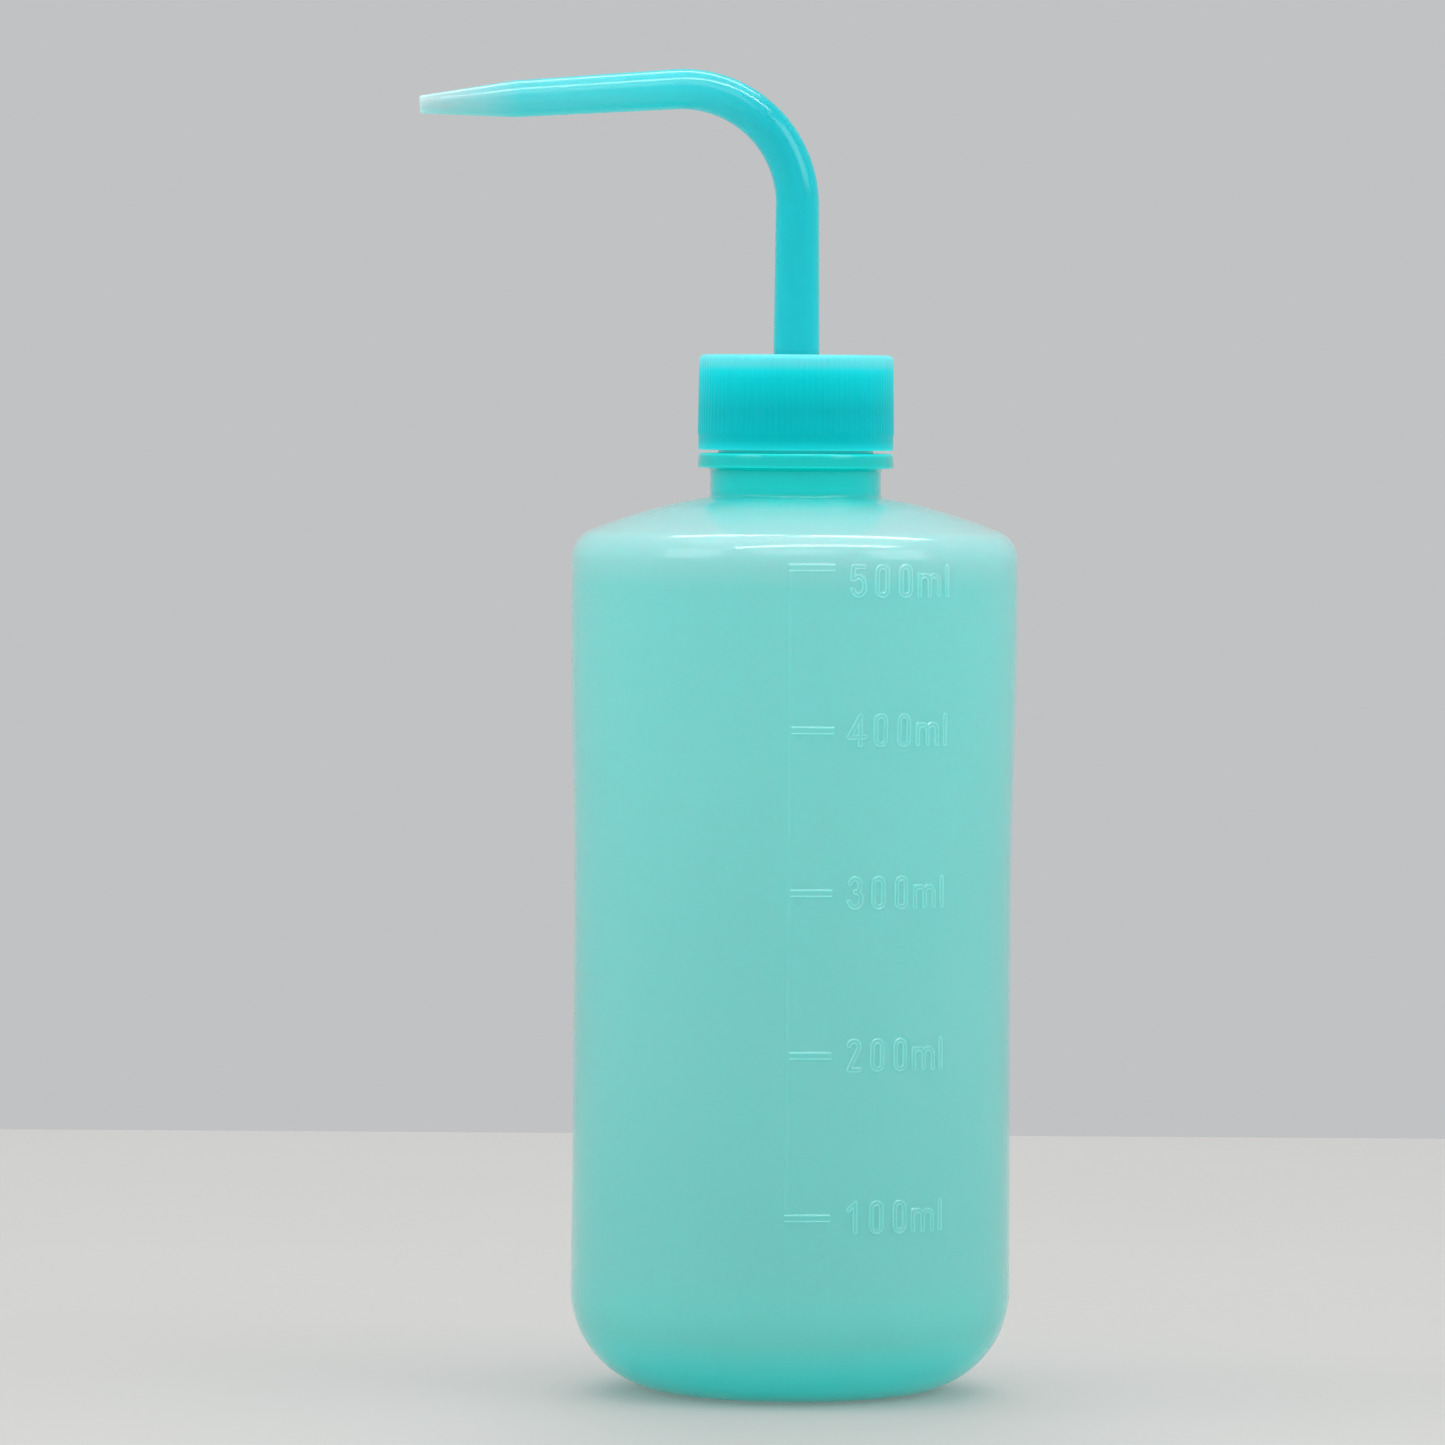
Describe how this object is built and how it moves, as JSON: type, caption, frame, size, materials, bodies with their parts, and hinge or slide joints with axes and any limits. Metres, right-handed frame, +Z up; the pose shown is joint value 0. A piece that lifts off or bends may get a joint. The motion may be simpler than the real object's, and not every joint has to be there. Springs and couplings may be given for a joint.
{
  "type": "wash bottle",
  "caption": "Round squeeze wash bottle with a ribbed screw cap, a bent swivelling spout with tapered jet tip, a dip tube and a raised volume graduation.",
  "frame": {"origin": "centre of the base, on the surface that the bottle stands on", "axes": "+Z up along the bottle's axis, -X along the spout from the axis to the jet tip, -Y out of the side with the graduation"},
  "size_m": [0.0985, 0.0733, 0.2163],
  "materials": {
    "bottle_plastic": "translucent turquoise polyethylene, satin gloss",
    "cap_plastic": "turquoise polypropylene, finely ribbed side, satin",
    "spout_plastic": "translucent turquoise polyethylene, glossy, paler at the thin tip",
    "tube_plastic": "natural milky polyethylene",
    "washer_plastic": "white foamed polyethylene"
  },
  "bodies": {
    "bottle": {"bottle": "bottle_plastic"},
    "seal": {"sealing_washer": "washer_plastic"},
    "cap": {"screw_cap": "cap_plastic"},
    "spout": {"spout": "spout_plastic", "dip_tube": "tube_plastic"}
  },
  "joints": [
    {"name": "closure_lift", "type": "slide", "parent": "bottle", "child": "seal", "axis": [0, 0, 1], "range_m": [0, 0.0056]},
    {"name": "cap_turn", "type": "hinge", "parent": "seal", "child": "cap", "pos_m": [0, 0, 0.154], "axis": [0, 0, 1], "range_deg": [0, 495]},
    {"name": "spout_swivel", "type": "hinge", "parent": "seal", "child": "spout", "pos_m": [0, 0, 0.168], "axis": [0, 0, 1], "continuous": true}
  ],
  "couplings": [
    {"joint": "closure_lift", "follows": "cap_turn", "m_per_rad": 0.00063662}
  ]
}
